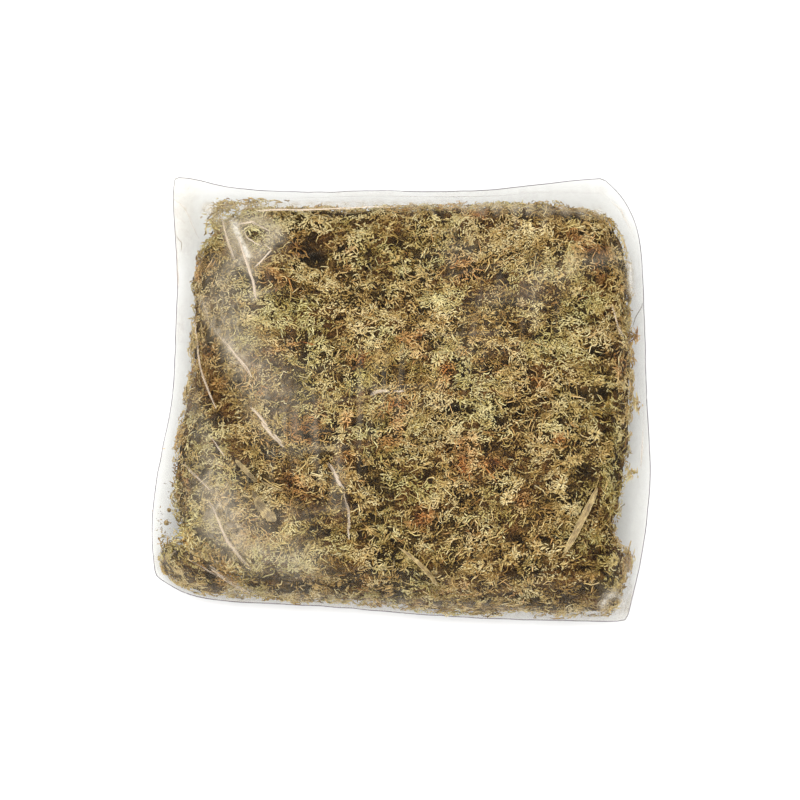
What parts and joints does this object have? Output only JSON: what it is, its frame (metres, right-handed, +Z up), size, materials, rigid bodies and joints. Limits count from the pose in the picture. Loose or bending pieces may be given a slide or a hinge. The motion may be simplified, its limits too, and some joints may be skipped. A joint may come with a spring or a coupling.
{
  "type": "bagged dried sphagnum moss slab",
  "caption": "Flat slab of dried sphagnum moss pressed into a clear film bag, lying on its back, with loose tufts, dry grass and crumbs under the film.",
  "frame": {"origin": "middle of the pack's box, on the surface it lies on", "axes": "+X along the pack's width, +Y towards the bag's open edge, +Z up out of the broad face"},
  "size_m": [0.3, 0.276, 0.0706],
  "materials": {
    "clear_film": "thin clear polythene film, slightly hazy, creased, glossy",
    "moss": "dried moss strands, straw to olive with rust brown and dark pits, matt",
    "loose_moss": "loose dried moss, browner than the block, matt",
    "dry_grass": "dry straw with ribs along it, slightly silky"
  },
  "bodies": {
    "root": {"bag": "clear_film", "moss_block": "moss", "moss_tuft_corner": "loose_moss", "moss_crumb_back": "loose_moss", "moss_crumb_middle": "loose_moss", "moss_crumb_front": "loose_moss", "grass_blade_right": "dry_grass", "grass_blade_left": "dry_grass", "grass_stalk_front": "dry_grass", "twig_left": "dry_grass", "dead_leaf": "dry_grass"}
  },
  "joints": []
}
